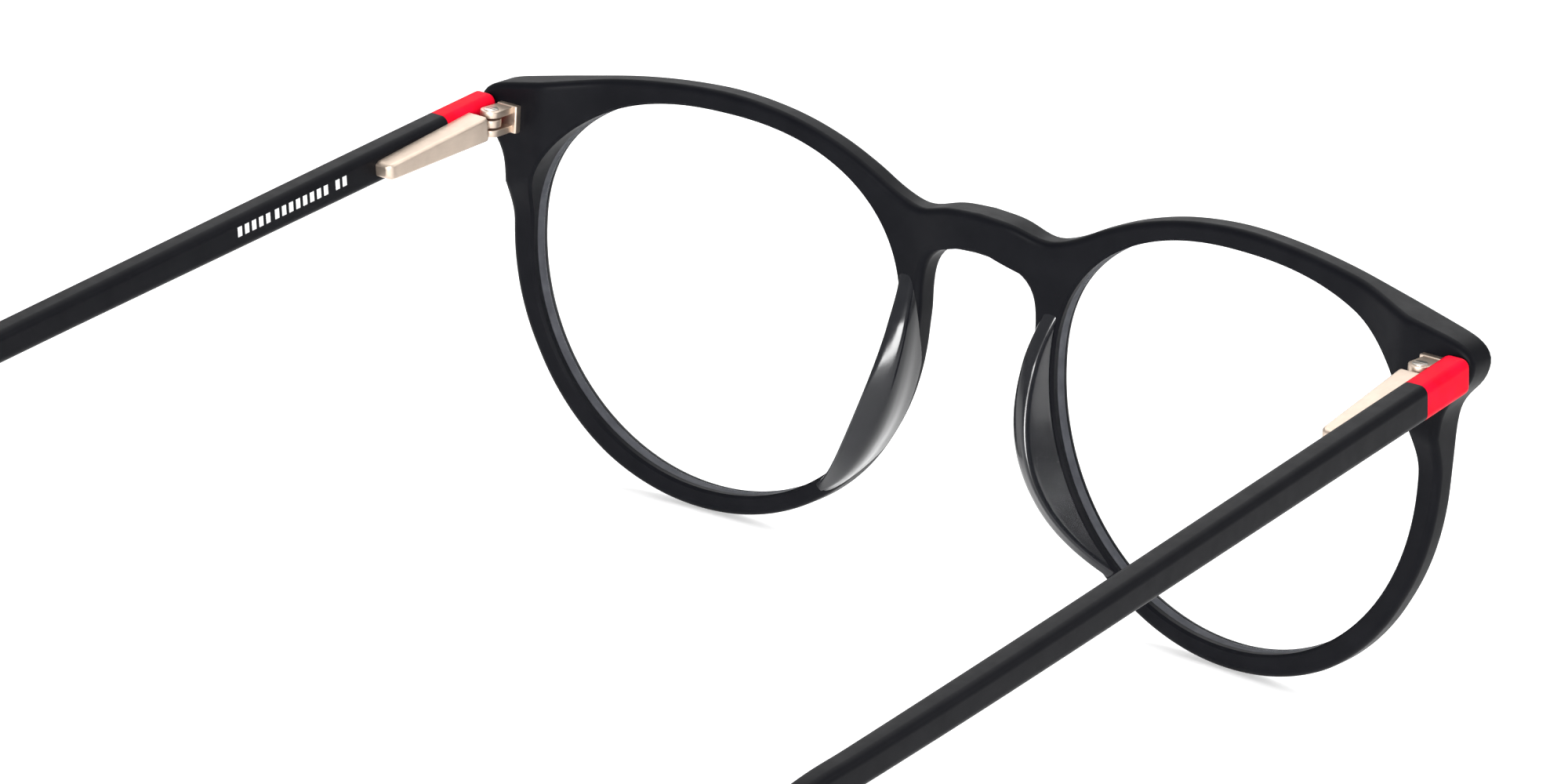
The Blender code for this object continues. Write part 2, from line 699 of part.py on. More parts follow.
def main():
    for old in list(bpy.data.objects):
        bpy.data.objects.remove(old)
    nodes = [(make_front_frame(), "front_frame", BLACK, None)]
    for name, make, look, moves in SIDED:
        for mirror, side in ((False, "left"), (True, "right")):
            pivot = Vector((HINGE[0] * (-1 if mirror else 1), HINGE[1], HINGE[2])) if moves else None
            nodes.append((make(mirror), f"{name}_{side}", look, pivot))
    made = {name: obj for obj, name, _, _ in nodes}
    lean = standing_lean(made["front_frame"], made["temple_arm_left"])
    leaning = Matrix.Rotation(lean, 4, "X")
    corners = []
    for obj, _, _, _ in nodes:
        obj.data.transform(leaning)
        corners += [tuple(v.co) for v in obj.data.vertices]
    low = np.min(corners, axis=0)
    high = np.max(corners, axis=0)
    shift = Vector((-(low[0] + high[0]) / 2, -(low[1] + high[1]) / 2, -low[2]))
    group = bpy.data.collections.new("eyeglasses")
    bpy.context.scene.collection.children.link(group)
    for obj, name, look, pivot in nodes:
        centre = leaning @ pivot + shift if pivot else Vector((0, 0, 0))
        obj.data.transform(Matrix.Scale(MM, 4) @ Matrix.Translation(shift - centre))
        obj.name = name
        obj.data.name = name
        obj.location = centre * MM
        obj.data.materials.clear()
        obj.data.materials.append(material(f"{name}_{look[0]}", *look[1:]))
        bpy.context.scene.collection.objects.unlink(obj)
        group.objects.link(obj)


main()
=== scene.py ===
"""Looks of the round acetate eyeglasses: fine surfaces, materials, floor, light and camera.

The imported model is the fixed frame. Shapes are laid out in millimetres in the frame of the front, as
the model's own source does: X to the wearer's left, Y backwards, Z up the front. The matrix STAND
takes that frame to the row frame, and comes from the fold joint of the left temple.
"""

import json
import math

import bmesh
import bpy
import numpy as np
from mathutils import Matrix, Vector


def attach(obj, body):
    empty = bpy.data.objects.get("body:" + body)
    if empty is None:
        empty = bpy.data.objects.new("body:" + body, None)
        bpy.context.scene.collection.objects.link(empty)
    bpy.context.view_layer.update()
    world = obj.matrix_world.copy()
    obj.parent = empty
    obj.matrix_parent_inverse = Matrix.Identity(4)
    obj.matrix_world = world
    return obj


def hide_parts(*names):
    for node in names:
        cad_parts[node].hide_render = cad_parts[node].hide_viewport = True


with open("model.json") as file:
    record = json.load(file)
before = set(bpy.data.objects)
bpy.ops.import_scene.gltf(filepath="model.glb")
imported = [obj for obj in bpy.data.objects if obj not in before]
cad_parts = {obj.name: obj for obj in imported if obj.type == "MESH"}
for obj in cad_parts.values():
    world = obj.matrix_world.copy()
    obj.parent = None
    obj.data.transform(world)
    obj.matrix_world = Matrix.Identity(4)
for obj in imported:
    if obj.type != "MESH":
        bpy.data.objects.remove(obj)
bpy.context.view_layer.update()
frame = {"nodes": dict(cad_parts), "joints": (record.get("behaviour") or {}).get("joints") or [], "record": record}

MM = 0.001

# Lens opening.
LENS_CENTRE = 35.5
OPENING_HALF = 24.85
OPENING_TOP = 20.25
OPENING_BOTTOM = -24.6
WIDEST_LINE = 1.5
TOP_SQUARENESS = 2.3
BOTTOM_SQUARENESS = 2.05

# Lens and its groove, with distances measured back from the front face.
GROOVE_DEPTH = 0.95
GROOVE_FRONT = 0.7
GROOVE_REAR = 2.2
GROOVE_SLANT = 0.05
LENS_FRONT = 0.95
LENS_THICK = 1.0
LENS_GAP = 0.3
LENS_STATIONS = 120
LENS_MIDDLE = (LENS_CENTRE, -1)

# Front.
FRONT_THICK = 3.1
FRONT_BEND = 0.00093
EDGE_ROUND = 0.8
FRONT_LIP = 0.16
BORE_START = 0.55
REAR_LIP = 0.3
END_FLOOR = 5.3
END_OUTER = 67.4
END_SWELL = 2.4
BRIDGE_SWELL = 1.2
STATION_GAP = 0.7
RIM_WIDTHS = (
    (-180, 2.75), (-150, 2.2), (-120, 2.15), (-90, 2.45), (-60, 2.7), (-30, 2.5), (0, 2.9), (8, 3.1),
)
# Upper half of the outline from the middle of the bridge round the end piece to the rim below it.
BROW = (
    (0, 16.5), (4.2, 16.2), (7.6, 15.2), (9.6, 15.2), (12.6, 16.3), (16, 18.1), (21, 20.2), (27, 21.8),
    (34, 22.6), (41, 22.4), (48, 21.6), (55, 20.3), (61, 19.1), (65.4, 18.1), (END_OUTER - 0.2, 16.8),
    (END_OUTER - 0.1, 15.2), (66.5, 13.4), (65.0, 11.8), (63.9, 10), (63.5, 7.6), (63.4, 5.2),
)
# Underside of the bridge, from the rim to the middle.
KEYHOLE = ((7.7, 3), (7.75, 5.6), (7.45, 8.2), (6.6, 9.85), (5.15, 11), (3.1, 11.7), (0, 11.9))

# Nose pads, by angle in degrees round the lens opening.
PAD_TOP = 164.0
PAD_LENGTH = 72.0
PAD_STATIONS = 61

# Hinge.
HINGE = Vector((62.9, 8.5, 14.75))
EAR_RADIUS = 1.25
HINGE_HALF_HEIGHT = 1.5
EAR_THICK = 0.8
EYE_THICK = 0.9
SCREW_HEAD_RADIUS = 0.85
SCREW_SHANK_RADIUS = 0.48
PLATE_SUNK = 1.0
PLATE_PROUD = 0.8
PLATE_HALF_WIDTH = 1.45
PLATE_OFFSET = 0.25
NECK_HALF_WIDTH = 0.6
NECK_HALF_LENGTH = 1.1
NECK_HALF_HEIGHT = 0.42
NECK_MIDDLE = 1.3

# Temple, in its own frame with the hinge axis as origin and Y along the arm.
TEMPLE_DROP = math.radians(7.2)
TEMPLE_SPLAY = math.radians(1.3)
TEMPLE_LENGTH = 140.0
TEMPLE_INNER = 1.4
TEMPLE_THICK = 3.2
TEMPLE_TOP = 2.15
TEMPLE_HEIGHT = 4.1
TEMPLE_START = END_FLOOR + 0.4 - HINGE.y
ARM_ROUND = 0.95
SEAM = 5.6
BOW_START = 62.0
BOW_RADIUS = 2000.0
BEND_START = 107.0
BEND_RADIUS = 28.0
BEND_ANGLE = math.radians(59)
TIP_BOW_RADIUS = 130.0
TIP_START = 104.0
TIP_HEIGHT = 6.6
BLOCK_ROUND = 0.55

# Spring housing.
HOUSING_START = 1.8
HOUSING_END = 18.0
HOUSING_NOSE = -1.3
HOUSING_NOSE_END = -0.75
HOUSING_SEAT = 2.5
HOUSING_HALF = 1.5
HOUSING_HALF_END = 0.95
HOUSING_FRONT_ROUND = 0.3
HOUSING_REAR_LENGTH = 0.9
HOUSING_REAR_ROUND = 0.75

# Printed bars, each group with its first bar's place along the temple and its count.
BAR_GROUPS = ((23.2, 2), (26.3, 8), (35.8, 5))
BAR_PITCH = 1.15
BAR_HALF_WIDTH = 0.33
BAR_LOW = -0.2
BAR_HIGH = 0.95

# Camera, laid out in the frame of the front.
CAMERA_YAW = math.radians(36.78)
CAMERA_PITCH = math.radians(18.82)
CAMERA_ROLL = math.radians(2.74)
CAMERA_DISTANCE = 860.3
CAMERA_LENS = 179.1
# How far right of the picture's middle, and above it, the origin of the front lies.
ORIGIN_RIGHT = 21.0
ORIGIN_UP = 4.1

# Studio, in metres and watts. Each softbox has a name, a place, a width, a height and a power.
FLOOR_HALF = 6
FLOOR_DROP = 0.0002
SURROUNDINGS = 0.55
LIGHT_AIM = Vector((0, -0.02, 0.03))
SOFTBOXES = (
    ("overhead", (0.1, -0.25, 1.1), 1.4, 1.0, 9),
    ("far_side", (0.7, -1.2, 0.8), 1.2, 0.6, 5),
    ("right_side", (-0.9, -0.5, 0.6), 0.7, 0.7, 3.5),
    ("low_rear", (-0.42, 1.05, 0.24), 0.8, 0.3, 24),
)

fold = next(joint for joint in frame["joints"] if joint["name"] == "temple_fold_left")
LEAN = math.atan2(-fold["axis"][1], fold["axis"][2])
STAND = (
    Matrix.Translation(fold["pos_m"])
    @ Matrix.Rotation(LEAN, 4, "X")
    @ Matrix.Scale(MM, 4)
    @ Matrix.Translation(-HINGE)
)
TEMPLE = (
    Matrix.Translation(HINGE)
    @ Matrix.Rotation(-TEMPLE_SPLAY, 4, "Z")
    @ Matrix.Rotation(-TEMPLE_DROP, 4, "X")
)
AT_HINGE = Matrix.Translation(HINGE)
SIDES = (("left", Matrix.Identity(4)), ("right", Matrix.Scale(-1, 4, (1, 0, 0))))


# ---------------------------------------------------------------- shapes

def smooth(value):
    """A soft step from 0 to 1."""
    value = min(max(value, 0.0), 1.0)
    return value * value * (3 - 2 * value)


def curve_through(points, steps):
    """Catmull-Rom curve through the points, which it starts and ends at."""
    points = [np.array(p, float) for p in points]
    ends = [2 * points[0] - points[1]] + points + [2 * points[-1] - points[-2]]
    found = []
    for before, start, stop, after in zip(ends, ends[1:], ends[2:], ends[3:]):
        for step in range(steps):
            t = step / steps
            found.append(
                0.5
                * (
                    2 * start
                    + (stop - before) * t
                    + (2 * before - 5 * start + 4 * stop - after) * t**2
                    + (3 * start - before - 3 * stop + after) * t**3
                )
            )
    found.append(points[-1])
    return np.array(found)


def evenly(points, gap):
    """The polyline resampled at an even spacing close to the gap, ends kept."""
    along = np.concatenate(([0], np.cumsum(np.linalg.norm(np.diff(points, axis=0), axis=1))))
    wanted = np.linspace(0, along[-1], round(along[-1] / gap) + 1)
    return np.stack([np.interp(wanted, along, column) for column in points.T], axis=-1)


def opening_point(angle):
    """Point of the lens opening of the wearer's left eye."""
    across = math.cos(angle)
    up = math.sin(angle)
    squareness = TOP_SQUARENESS if up >= 0 else BOTTOM_SQUARENESS
    height = OPENING_TOP - WIDEST_LINE if up >= 0 else WIDEST_LINE - OPENING_BOTTOM
    x = OPENING_HALF * math.copysign(abs(across) ** (2 / squareness), across)
    z = WIDEST_LINE + height * math.copysign(abs(up) ** (2 / squareness), up)
    return np.array((x + LENS_CENTRE, z))


def opening_frame(angle):
    """Point of the opening and the unit direction away from the lens there."""
    here = opening_point(angle)
    ahead = opening_point(angle + 0.004)
    tangent = (ahead - here) / np.linalg.norm(ahead - here)
    return here, np.array((tangent[1], -tangent[0]))


def rim_width(degrees):
    """Width of the rim at an angle from -180 to 8 degrees."""
    return np.interp(degrees, *zip(*RIM_WIDTHS))


def rear_depth(x, z):
    """Y of the rear face of the front: a gentle bend, thicker at the bridge and at the end pieces.

    The bridge's swell fades out over 9 mm from 2 mm off the middle. The end piece's swell comes in
    over 11 mm from 50 mm off the middle, and over 8 mm upwards from 2 mm above it.
    """
    across = abs(x)
    bridge = BRIDGE_SWELL * (1 - smooth((across - 2) / 9))
    end = END_SWELL * smooth((across - 50) / 11) * smooth((z - 2) / 8)
    return min(FRONT_BEND * x * x + bridge + end, END_FLOOR)


def front_depth(x, z):
    """Y of the front face of the front."""
    return FRONT_BEND * x * x - FRONT_THICK


def half_outline():
    """Left half of the front's outline, from the top of the bridge round to its underside."""
    rim = []
    for degrees in range(0, -181, -3):
        here, away = opening_frame(math.radians(degrees))
        rim.append(here + rim_width(degrees) * away)
    half = np.concatenate((curve_through(BROW, 8), rim, curve_through(KEYHOLE, 8)))
    half = evenly(half, STATION_GAP)
    for _ in range(2):
        half[1:-1] = (half[:-2] + 2 * half[1:-1] + half[2:]) / 4
    return half


def outward_of(half):
    """Unit outward normals of the half outline, upright where it meets the middle plane."""
    tangent = np.gradient(half, axis=0)
    tangent[0] = (1, 0)
    tangent[-1] = (-1, 0)
    tangent /= np.linalg.norm(tangent, axis=1)[:, None]
    return np.stack([-tangent[:, 1], tangent[:, 0]], axis=-1)


def facing_angles(ring):
    """For each point of a ring round the lens, the opening's angle that it faces, evened out."""
    dense = np.radians(np.arange(0, 361, 0.5))
    points = np.array([opening_point(angle) for angle in dense]) - (LENS_CENTRE, 0)
    polar = np.unwrap(np.arctan2(points[:, 1], points[:, 0]))
    offset = ring - (LENS_CENTRE, 0)
    wanted = np.unwrap(np.arctan2(offset[:, 1], offset[:, 0]))
    turn = 2 * math.pi
    found = np.interp(wanted % turn, polar % turn, dense, period=turn)
    found = np.unwrap(found)
    for _ in range(24):
        before = np.roll(found, 1)
        after = np.roll(found, -1)
        before[0] += turn
        after[-1] -= turn
        found = (before + 2 * found + after) / 4
    return found


def finish_mesh(name, mesh, looks, sharp=32):
    """Makes an object of a bmesh in the row frame, smooth but for its sharp edges."""
    bmesh.ops.recalc_face_normals(mesh, faces=mesh.faces)
    data = bpy.data.meshes.new(name)
    mesh.to_mesh(data)
    mesh.free()
    data.shade_smooth()
    data.set_sharp_from_angle(angle=math.radians(sharp))
    obj = bpy.data.objects.new(name, data)
    bpy.context.scene.collection.objects.link(obj)
    data.materials.append(looks)
    weighted = obj.modifiers.new("even_normals", "WEIGHTED_NORMAL")
    weighted.keep_sharp = True
    return obj


def add_rings(mesh, rings, place):
    """Makes the vertices of each ring of points."""
    return [[mesh.verts.new(place @ Vector(point)) for point in ring] for ring in rings]


def join_rings(mesh, made):
    """Joins successive closed rings of vertices with quads."""
    for first, second in zip(made, made[1:]):
        for k in range(len(first)):
            after = (k + 1) % len(first)
            mesh.faces.new((first[k], first[after], second[after], second[k]))


def add_loft(mesh, rings, place):
    """A closed solid through successive rings."""
    made = add_rings(mesh, rings, place)
    join_rings(mesh, made)
    mesh.faces.new(made[0])
    mesh.faces.new(made[-1])


def rounded_section(half_x, half_z, radius, per_corner=6):
    """Rounded rectangle as offsets about its centre, counter-clockwise."""
    points = []
    for side_x, side_z, turn in ((1, 1, 0), (-1, 1, 90), (-1, -1, 180), (1, -1, 270)):
        for k in range(per_corner):
            angle = math.radians(turn + 90 * k / (per_corner - 1))
            x = side_x * (half_x - radius) + radius * math.cos(angle)
            z = side_z * (half_z - radius) + radius * math.sin(angle)
            points.append((x, z))
    return points


def shrunk(outline, distance):
    """A counter-clockwise outline moved inwards."""
    outline = np.array(outline)
    tangent = np.roll(outline, -1, axis=0) - np.roll(outline, 1, axis=0)
    tangent /= np.linalg.norm(tangent, axis=1)[:, None]
    return outline - distance * np.stack([tangent[:, 1], -tangent[:, 0]], axis=-1)


def add_prism(mesh, outline, low, high, edge, place):
    """An upright prism (outline in X and Y, from low to high in Z) with rounded rims."""
    rings = []
    for start, direction in ((low, 1), (high, -1)):
        quarter = []
        for step in range(4):
            turn = math.pi / 2 * step / 3
            inset = edge * (1 - math.sin(turn))
            rise = edge * (1 - math.cos(turn))
            level = start + direction * rise
            quarter.append([(x, y, level) for x, y in shrunk(outline, inset)])
        rings += quarter if direction == 1 else quarter[::-1]
    add_loft(mesh, rings, place)


def circle(radius, count=40, start=0.0, sweep=360.0):
    """Points on an arc about the origin, in X and Y."""
    whole = sweep == 360.0
    steps = count if whole else count - 1
    angles = [math.radians(start + sweep * k / steps) for k in range(count)]
    return [(radius * math.cos(a), radius * math.sin(a)) for a in angles]


def add_front_half(mesh, place):
    """One half of the front as a ring of quads round its lens opening, open at the middle plane."""
    half = half_outline()
    outward = outward_of(half)
    edge = half - EDGE_ROUND * outward
    seam = evenly(np.array((edge[-1], edge[0])), 0.6)[1:-1]
    ring = np.concatenate((edge, seam))
    frames = [opening_frame(angle) for angle in facing_angles(ring)]

    def bore(inset, depth):
        points = []
        for here, away in frames:
            x, z = here + inset * away
            points.append((x, depth(x, z), z))
        return points

    def across(depth, shares):
        strips = []
        for share in shares:
            points = []
            for (here, away), outer in zip(frames, ring):
                x, z = (here + REAR_LIP * away) * (1 - share) + outer * share
                points.append((x, depth(x, z), z))
            strips.append(points)
        return strips

    def behind_front(distance):
        return lambda x, z: front_depth(x, z) + distance

    rear_levels = [bore(0.0, lambda x, z: rear_depth(x, z) - REAR_LIP)]
    rear_levels += across(rear_depth, np.linspace(0, 1, 13))
    rear = add_rings(mesh, rear_levels, place)
    skins = [rear[-1][: len(half)]]
    steps = range(1, 7)
    for depth, direction, order in ((rear_depth, -1, steps), (front_depth, 1, steps[::-1])):
        for step in order:
            turn = math.pi / 2 * step / len(steps)
            out = EDGE_ROUND * math.sin(turn)
            sink = EDGE_ROUND * (1 - math.cos(turn))
            points = []
            for (x, z), (ox, oz) in zip(edge, outward):
                y = depth(x, z) + direction * sink
                points.append((x + out * ox, y, z + out * oz))
            skins += add_rings(mesh, [points], place)
    front = add_rings(mesh, across(front_depth, np.linspace(1, 0, 5)), place)
    skins.append(front[0][: len(half)])
    bore_levels = [
        bore(FRONT_LIP, behind_front(FRONT_LIP)),
        bore(0.0, behind_front(BORE_START)),
        bore(0.0, behind_front(GROOVE_FRONT)),
        bore(GROOVE_DEPTH, behind_front(GROOVE_FRONT + GROOVE_SLANT)),
        bore(GROOVE_DEPTH, behind_front(GROOVE_REAR - GROOVE_SLANT)),
        bore(0.0, behind_front(GROOVE_REAR)),
    ]
    front += add_rings(mesh, bore_levels, place)
    front.append(rear[0])
    join_rings(mesh, rear)
    join_rings(mesh, front)
    for first, second in zip(skins, skins[1:]):
        for k in range(len(half) - 1):
            mesh.faces.new((first[k], first[k + 1], second[k + 1], second[k]))


def make_front(looks):
    """The acetate front, both halves welded at the middle plane."""
    mesh = bmesh.new()
    for _, mirror in SIDES:
        add_front_half(mesh, STAND @ mirror)
    bmesh.ops.remove_doubles(mesh, verts=mesh.verts, dist=1e-6)
    return finish_mesh("front_shell", mesh, looks)


def make_nose_pad(side, mirror, looks):
    """Smooth pad on the rear of the rim beside the nose.

    Its section goes from flat at the ends to full in between. Each point has its distance past the
    lens opening and its height over the rear face.
    """
    mesh = bmesh.new()
    rings = []
    for k in range(PAD_STATIONS):
        share = k / (PAD_STATIONS - 1)
        degrees = PAD_TOP + PAD_LENGTH * share
        here, away = opening_frame(math.radians(degrees))
        width = float(rim_width(max(degrees - 360, -180)))
        swell = math.sin(math.pi * share**1.1) ** 1.1
        flat = (
            (width - 0.3, -2.2), (width - 0.3, -0.9), (width - 0.5, -0.5), (width - 0.8, -0.35),
            (0.62 * width, -0.35), (0.45 * width, -0.35), (0.3 * width, -0.35), (0.2 * width, -0.35),
            (0.14 * width, -0.35),
        )
        full = (
            (width + 0.04, -2.2), (width + 0.2, -0.6), (width + 0.6, 1.4), (width + 0.75, 3.0),
            (width + 0.35, 4.2), (width - 0.9, 5.1), (0.2 * width, 5.45), (0.06 * width, 4.2),
            (0.1 * width, 0.02),
        )
        blend = [np.array(a) * (1 - swell) + np.array(b) * swell for a, b in zip(flat, full)]
        section = list(curve_through(blend, 5)) + [(0.2 * width, -0.8), (width - 0.6, -2.2)]
        ring = []
        for out, height in section:
            x, z = here + out * away
            ring.append((x, rear_depth(x, z) + height, z))
        rings.append(ring)
    add_loft(mesh, rings, STAND @ mirror)
    return finish_mesh(f"nose_pad_{side}_fine", mesh, looks, sharp=50)


def make_lens(side, mirror, looks):
    """Clear meniscus lens with its bevelled edge in the groove."""
    mesh = bmesh.new()
    rings = []
    grow = GROOVE_DEPTH - LENS_GAP
    shares = (0.02, 0.25, 0.5, 0.75, 0.96)
    for back, steps in ((LENS_THICK, shares), (LENS_THICK / 2, (1.0,)), (0, shares[::-1])):
        for share in steps:
            ring = []
            for k in range(LENS_STATIONS):
                here, away = opening_frame(2 * math.pi * k / LENS_STATIONS)
                x, z = (here + grow * away) * share + np.array(LENS_MIDDLE) * (1 - share)
                ring.append((x, front_depth(x, z) + LENS_FRONT + back, z))
            rings.append(ring)
    add_loft(mesh, rings, STAND @ mirror)
    return finish_mesh(f"lens_{side}_fine", mesh, looks)


def make_lens_edge(side, mirror, looks):
    """The lens's ground edge, a dull ring that fills the groove. Its grey colour is partly painted light,
    lightening the opening's wall where the lens's bevel would refract light.

    Each point of its section has its distance past the opening and behind the front face.
    """
    mesh = bmesh.new()
    section = ((0.03, 0.8), (0.45, 0.95), (0.7, 1.45), (0.45, 1.95), (0.03, 2.1))
    rings = []
    for k in range(LENS_STATIONS):
        here, away = opening_frame(2 * math.pi * k / LENS_STATIONS)
        ring = []
        for out, distance in section:
            x, z = here + out * away
            ring.append((x, front_depth(x, z) + distance, z))
        rings.append(ring)
    made = add_rings(mesh, rings, STAND @ mirror)
    join_rings(mesh, made + made[:1])
    return finish_mesh(f"lens_edge_{side}", mesh, looks)


def centre_line(along):
    """Centre of the temple section at a distance along it, with its direction angle below level."""
    bow = max(along - BOW_START, 0) ** 2 / (2 * BOW_RADIUS)
    tip_bow = max(along - BEND_START, 0) ** 2 / (2 * TIP_BOW_RADIUS)
    x = TEMPLE_INNER + TEMPLE_THICK / 2 - bow - tip_bow
    middle = TEMPLE_TOP - TEMPLE_HEIGHT / 2
    past = along - BEND_START
    if past <= 0:
        return Vector((x, along, middle)), 0.0
    turned = min(past / BEND_RADIUS, BEND_ANGLE)
    straight = past - BEND_RADIUS * turned
    y = BEND_START + BEND_RADIUS * math.sin(turned) + straight * math.cos(turned)
    z = middle - BEND_RADIUS * (1 - math.cos(turned)) - straight * math.sin(turned)
    return Vector((x, y, z)), turned


def section_ring(along, half_x, half_z, radius):
    """Temple section as a ring of points at a distance along it."""
    centre, turned = centre_line(along)
    ring = []
    for x, z in rounded_section(half_x, half_z, radius):
        ring.append(centre + Vector((x, z * math.sin(turned), z * math.cos(turned))))
    return ring


def arm_half_sizes(along):
    """Half thickness and half height of the temple at a distance along it."""
    slimmer = 0.25 * smooth(along / 90)
    wider = (TIP_HEIGHT - TEMPLE_HEIGHT) / 2 * smooth((along - TIP_START) / 24)
    half_z = TEMPLE_HEIGHT / 2 - slimmer + wider
    half_x = TEMPLE_THICK / 2 - 0.2 * smooth((along - 80) / 40)
    return half_x, half_z


def make_temple_arm(side, mirror, looks):
    """Black arm from the red block's seam to the rounded ear tip."""
    mesh = bmesh.new()
    tip_end = TEMPLE_LENGTH + TEMPLE_START
    tip_round = TIP_HEIGHT / 2
    stations = list(np.linspace(SEAM + 0.02, BEND_START - 7, 24))
    stations += list(np.linspace(BEND_START - 5, tip_end - tip_round, 28))
    rings = [section_ring(s, *arm_half_sizes(s), ARM_ROUND) for s in stations]
    for step in range(1, 10):
        turn = math.radians(9.6 * step)
        along = tip_end - tip_round * (1 - math.sin(turn))
        half_x, half_z = arm_half_sizes(along)
        half_x *= 0.5 + 0.5 * math.cos(turn)
        half_z *= math.cos(turn)
        rounding = min(ARM_ROUND, 0.85 * half_x, 0.85 * half_z)
        rings.append(section_ring(along, half_x, half_z, rounding))
    add_loft(mesh, rings, STAND @ mirror @ TEMPLE)
    return finish_mesh(f"temple_arm_{side}_fine", mesh, looks)


def make_temple_block(side, mirror, looks):
    """Red block at the front end of the temple."""
    mesh = bmesh.new()
    rings = []
    for step in range(6):
        turn = math.pi / 2 * step / 5
        inset = BLOCK_ROUND * (1 - math.sin(turn))
        along = TEMPLE_START + BLOCK_ROUND * (1 - math.cos(turn))
        half_x = TEMPLE_THICK / 2 - inset
        half_z = TEMPLE_HEIGHT / 2 - inset
        rings.append(section_ring(along, half_x, half_z, ARM_ROUND - 0.6 * inset))
    for along in np.linspace(TEMPLE_START + 1, SEAM, 8):
        rings.append(section_ring(along, TEMPLE_THICK / 2, TEMPLE_HEIGHT / 2, ARM_ROUND))
    add_loft(mesh, rings, STAND @ mirror @ TEMPLE)
    return finish_mesh(f"temple_block_{side}_fine", mesh, looks)


def make_spring_housing(side, mirror, looks):
    """Tapered metal box on the temple's inner side, with a rounded rear end."""
    mesh = bmesh.new()
    rings = []
    stations = []
    for turn in (0, 0.5, 1.05, 1.57):
        along = HOUSING_START + HOUSING_FRONT_ROUND * (1 - math.cos(turn))
        stations.append((along, HOUSING_FRONT_ROUND * (1 - math.sin(turn))))
    for along in np.linspace(HOUSING_START + 1, HOUSING_END - 1.2, 8):
        stations.append((along, 0.0))
    for turn in (0.3, 0.7, 1.1, 1.35, 1.57):
        along = HOUSING_END - HOUSING_REAR_LENGTH * (1 - math.sin(turn))
        stations.append((along, HOUSING_REAR_ROUND * (1 - math.cos(turn))))
    for along, inset in stations:
        share = (along - HOUSING_START) / (HOUSING_END - HOUSING_START)
        low = HOUSING_NOSE + share * (HOUSING_NOSE_END - HOUSING_NOSE) + inset
        half_z = HOUSING_HALF + share * (HOUSING_HALF_END - HOUSING_HALF) - 0.6 * inset
        half_x = (HOUSING_SEAT - low) / 2
        centre = Vector((low + half_x, along, 0))
        section = rounded_section(half_x, half_z, min(0.4, 0.9 * half_z))
        rings.append([centre + Vector((x, 0, z)) for x, z in section])
    add_loft(mesh, rings, STAND @ mirror @ TEMPLE)
    return finish_mesh(f"spring_housing_{side}_fine", mesh, looks)


def make_front_hinge(side, mirror, looks):
    """Plate on the end piece with two ears."""
    mesh = bmesh.new()
    place = STAND @ mirror @ AT_HINGE
    deep = END_FLOOR - PLATE_SUNK - HINGE.y
    rear = END_FLOOR + PLATE_PROUD - HINGE.y
    middle = (deep + rear) / 2
    section = rounded_section(PLATE_HALF_WIDTH, (rear - deep) / 2, 0.2, 4)
    plate = [(x - PLATE_OFFSET, y + middle) for x, y in section]
    add_prism(mesh, plate, -HINGE_HALF_HEIGHT - 0.1, HINGE_HALF_HEIGHT + 0.1, 0.12, place)
    reach = rear - 0.3
    round_end = circle(EAR_RADIUS, 25, 0, 180)
    ear = round_end + [(-EAR_RADIUS + 0.1, reach), (EAR_RADIUS - 0.1, reach)]
    for low in (-HINGE_HALF_HEIGHT, HINGE_HALF_HEIGHT - EAR_THICK):
        add_prism(mesh, ear, low, low + EAR_THICK, 0.1, place)
    return finish_mesh(f"front_hinge_{side}_fine", mesh, looks)


def make_hinge_tongue(side, mirror, looks):
    """Eye between the ears with the neck that runs into the housing.

    The neck has no stem behind it, so a gap shows when the spring is pressed more than 0.6 mm.
    """
    mesh = bmesh.new()
    half = EYE_THICK / 2
    add_prism(mesh, circle(EAR_RADIUS - 0.05), -half, half, 0.08, STAND @ mirror @ AT_HINGE)
    section = rounded_section(NECK_HALF_WIDTH, NECK_HALF_LENGTH, 0.15, 4)
    neck = [(x, y + NECK_MIDDLE) for x, y in section]
    add_prism(mesh, neck, -NECK_HALF_HEIGHT, NECK_HALF_HEIGHT, 0.08, STAND @ mirror @ TEMPLE)
    return finish_mesh(f"hinge_tongue_{side}_fine", mesh, looks)


def make_hinge_screw(side, mirror, looks):
    """Slotted screw head over the upper ear and the foot of the shank under the lower one."""
    mesh = bmesh.new()
    place = STAND @ mirror @ AT_HINGE
    top = HINGE_HALF_HEIGHT
    add_prism(mesh, circle(SCREW_HEAD_RADIUS), top - 0.27, top - 0.02, 0.03, place)
    for turn in (8, 188):
        half_head = circle(SCREW_HEAD_RADIUS, 21, turn, 164)
        add_prism(mesh, half_head, top - 0.1, top + 0.08, 0.03, place)
    foot = -HINGE_HALF_HEIGHT
    add_prism(mesh, circle(SCREW_SHANK_RADIUS), foot - 0.02, foot + 0.4, 0.04, place)
    return finish_mesh(f"hinge_screw_{side}_fine", mesh, looks)


def make_marks(looks):
    """A row of plain white bars, in place of the small print inside the left temple."""
    mesh = bmesh.new()
    middle = TEMPLE_TOP - TEMPLE_HEIGHT / 2
    bar = rounded_section(0.02, BAR_HALF_WIDTH, 0.01, 2)
    for group_start, bars in BAR_GROUPS:
        for k in range(bars):
            along = group_start + BAR_PITCH * k
            outline = [(x + TEMPLE_INNER, y + along) for x, y in bar]
            add_prism(mesh, outline, middle + BAR_LOW, middle + BAR_HIGH, 0.004, STAND @ TEMPLE)
    return finish_mesh("temple_marks", mesh, looks)


# ---------------------------------------------------------------- materials

